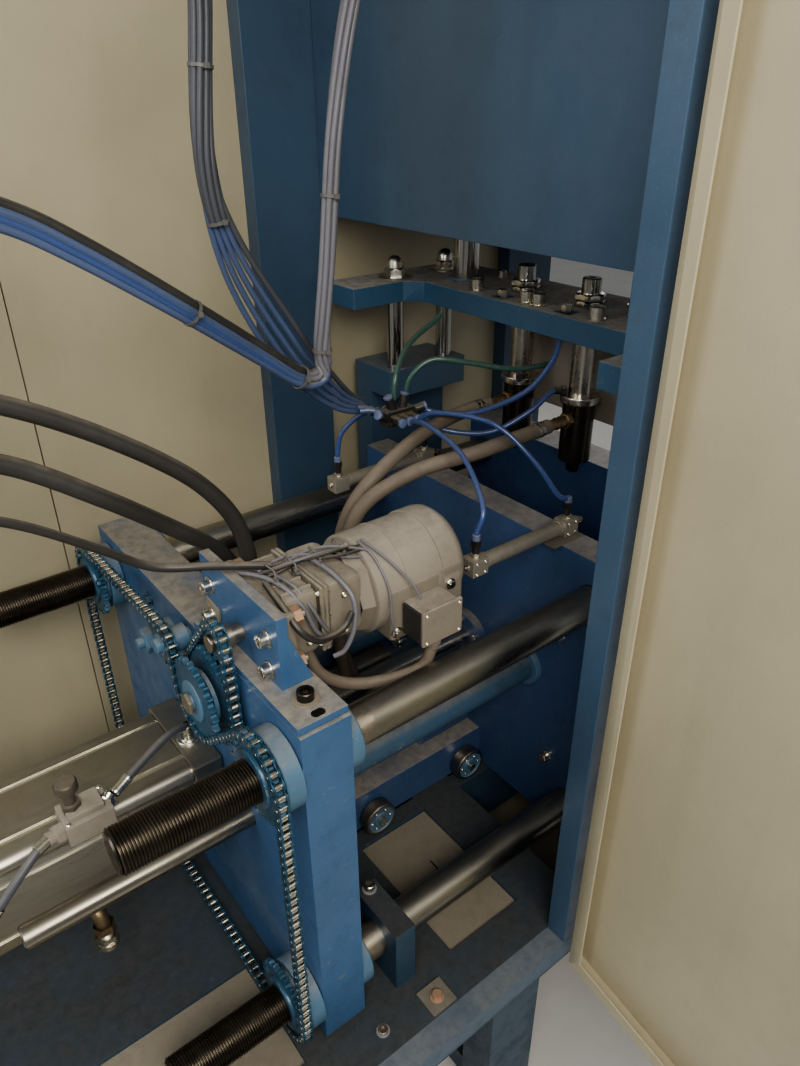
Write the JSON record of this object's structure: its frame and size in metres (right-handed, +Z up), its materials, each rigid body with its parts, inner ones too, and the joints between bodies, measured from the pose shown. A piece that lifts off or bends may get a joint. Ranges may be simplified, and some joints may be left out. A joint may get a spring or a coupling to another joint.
{
  "type": "blow moulding machine",
  "caption": "Clamp and blow pin end of an extrusion blow moulding machine, with chain-driven mould height, sliding platens and a swinging door.",
  "frame": {"origin": "middle of the base, on the floor, on the underside of the middle foot beam", "axes": "+X along the tie bars from the clamp cylinder to the blow pins, +Y to the far side, +Z up"},
  "size_m": [2.04, 1.5197, 2.3],
  "materials": {
    "blue_paint": "semi-gloss paint with dust and chipped edges",
    "cream_paint": "satin paint on folded sheet",
    "polished_steel": "ground and oiled",
    "dark_steel": "oiled chain and pin steel",
    "black_rubber": "matt",
    "grey_casing": "dusty grey enamel",
    "alloy": "extruded and machined",
    "blue_tube": "polyurethane air tube",
    "grey_hose": "sheathed hose",
    "tray_paint": "dusty beige"
  },
  "bodies": {
    "frame": {"base_frame": "blue_paint", "drip_tray": "tray_paint", "enclosure_frame": "blue_paint", "tower_frame": "blue_paint", "head_box": "blue_paint", "far_panel_left": "cream_paint", "far_panel_right": "cream_paint", "far_panel_back": "cream_paint", "front_platen": "blue_paint", "tie_bar_near_low": "polished_steel", "tie_bar_near_high": "polished_steel", "tie_bar_far_low": "polished_steel", "tie_bar_far_high": "polished_steel", "air_manifold": "black_rubber", "air_bundle_down": "grey_hose", "air_bundle_across": "blue_tube", "water_hose_near": "grey_hose", "water_hose_far": "grey_hose", "air_tube_near": "blue_tube", "air_tube_far": "blue_tube"},
    "rear_platen": {"rear_platen": "blue_paint", "clamp_cylinder": "alloy", "motor_bracket": "blue_paint", "gear_motor": "grey_casing", "main_chain": "dark_steel", "drive_chain": "dark_steel", "flow_valve": "grey_casing", "cylinder_hose": "grey_hose", "motor_conduit": "grey_hose", "hydraulic_hose_upper": "black_rubber", "hydraulic_hose_lower": "black_rubber", "motor_cable": "black_rubber"},
    "moving_platen": {"moving_platen": "blue_paint", "piston_rod": "polished_steel", "guide_rod_near": "polished_steel", "guide_rod_far": "polished_steel", "small_cylinder_near": "alloy", "small_cylinder_far": "alloy"},
    "pin_carriage": {"pin_carriage": "blue_paint", "lift_rod_near": "polished_steel", "lift_rod_far": "polished_steel", "blow_pin_near": "dark_steel", "blow_pin_far": "dark_steel", "guide_column_near_back": "polished_steel", "guide_column_near_front": "polished_steel", "guide_column_far_back": "polished_steel", "guide_column_far_front": "polished_steel"},
    "central_sprocket": {"central_sprocket": "blue_paint"},
    "idler_sprocket": {"idler_sprocket": "blue_paint"},
    "motor_sprocket": {"motor_sprocket": "dark_steel"},
    "wheels_back": {"support_wheels_back": "dark_steel"},
    "wheels_front": {"support_wheels_front": "dark_steel"},
    "small_rod_near": {"small_rod_near": "polished_steel"},
    "small_rod_far": {"small_rod_far": "polished_steel"},
    "door": {"door": "cream_paint"},
    "adjusting_nut_near_low": {"adjusting_nut_near_low": "blue_paint"},
    "adjusting_nut_near_high": {"adjusting_nut_near_high": "blue_paint"},
    "adjusting_nut_far_low": {"adjusting_nut_far_low": "blue_paint"},
    "adjusting_nut_far_high": {"adjusting_nut_far_high": "blue_paint"}
  },
  "joints": [
    {"name": "mould_height", "type": "slide", "parent": "frame", "child": "rear_platen", "axis": [1, 0, 0], "range_m": [-0.0115, 0.0115], "deforming": ["hydraulic_hose_upper", "hydraulic_hose_lower", "motor_cable"]},
    {"name": "sprocket_turn", "type": "hinge", "parent": "rear_platen", "child": "central_sprocket", "pos_m": [-0.397, -0.125, 1.07], "axis": [1, 0, 0], "range_deg": [-1080, 1080]},
    {"name": "clamp_stroke", "type": "slide", "parent": "rear_platen", "child": "moving_platen", "axis": [1, 0, 0], "range_m": [-0.03, 0.08], "deforming": ["air_tube_near", "air_tube_far"]},
    {"name": "pin_lift", "type": "slide", "parent": "frame", "child": "pin_carriage", "axis": [0, 0, 1], "range_m": [-0.09, 0.03], "deforming": ["water_hose_near", "water_hose_far"]},
    {"name": "idler_turn", "type": "hinge", "parent": "rear_platen", "child": "idler_sprocket", "pos_m": [-0.397, -0.028, 1.112], "axis": [1, 0, 0], "range_deg": [-2200, 2200]},
    {"name": "motor_turn", "type": "hinge", "parent": "rear_platen", "child": "motor_sprocket", "pos_m": [-0.372, -0.165, 1.184], "axis": [1, 0, 0], "range_deg": [-3100, 3100]},
    {"name": "wheels_back_roll", "type": "hinge", "parent": "moving_platen", "child": "wheels_back", "pos_m": [-0.046, 0, 0.5363], "axis": [0, 1, 0], "range_deg": [-60, 140]},
    {"name": "wheels_front_roll", "type": "hinge", "parent": "moving_platen", "child": "wheels_front", "pos_m": [0.195, 0, 0.5363], "axis": [0, 1, 0], "range_deg": [-60, 140]},
    {"name": "small_rod_near_slide", "type": "slide", "parent": "moving_platen", "child": "small_rod_near", "axis": [1, 0, 0], "range_m": [0, 0.05]},
    {"name": "small_rod_far_slide", "type": "slide", "parent": "moving_platen", "child": "small_rod_far", "axis": [1, 0, 0], "range_m": [0, 0.05]},
    {"name": "door_swing", "type": "hinge", "parent": "frame", "child": "door", "pos_m": [0.075, -0.4875, 0.5], "axis": [0, 0, 1], "range_deg": [-83, 20]},
    {"name": "adjusting_nut_near_low_turn", "type": "hinge", "parent": "rear_platen", "child": "adjusting_nut_near_low", "pos_m": [-0.397, -0.3, 0.583], "axis": [1, 0, 0], "range_deg": [-1100, 1100]},
    {"name": "adjusting_nut_near_high_turn", "type": "hinge", "parent": "rear_platen", "child": "adjusting_nut_near_high", "pos_m": [-0.397, -0.3, 1.061], "axis": [1, 0, 0], "range_deg": [-1100, 1100]},
    {"name": "adjusting_nut_far_low_turn", "type": "hinge", "parent": "rear_platen", "child": "adjusting_nut_far_low", "pos_m": [-0.397, 0.3, 0.583], "axis": [1, 0, 0], "range_deg": [-1100, 1100]},
    {"name": "adjusting_nut_far_high_turn", "type": "hinge", "parent": "rear_platen", "child": "adjusting_nut_far_high", "pos_m": [-0.397, 0.3, 1.061], "axis": [1, 0, 0], "range_deg": [-1100, 1100]}
  ],
  "couplings": [
    {"joint": "sprocket_turn", "follows": "mould_height", "rad_per_m": -1570.8},
    {"joint": "idler_turn", "follows": "mould_height", "rad_per_m": 3141.6},
    {"joint": "motor_turn", "follows": "mould_height", "rad_per_m": -4398.2},
    {"joint": "wheels_back_roll", "follows": "clamp_stroke", "rad_per_m": 27.778},
    {"joint": "wheels_front_roll", "follows": "clamp_stroke", "rad_per_m": 27.778},
    {"joint": "adjusting_nut_near_low_turn", "follows": "mould_height", "rad_per_m": 1570.8},
    {"joint": "adjusting_nut_near_high_turn", "follows": "mould_height", "rad_per_m": 1570.8},
    {"joint": "adjusting_nut_far_low_turn", "follows": "mould_height", "rad_per_m": 1570.8},
    {"joint": "adjusting_nut_far_high_turn", "follows": "mould_height", "rad_per_m": 1570.8}
  ]
}
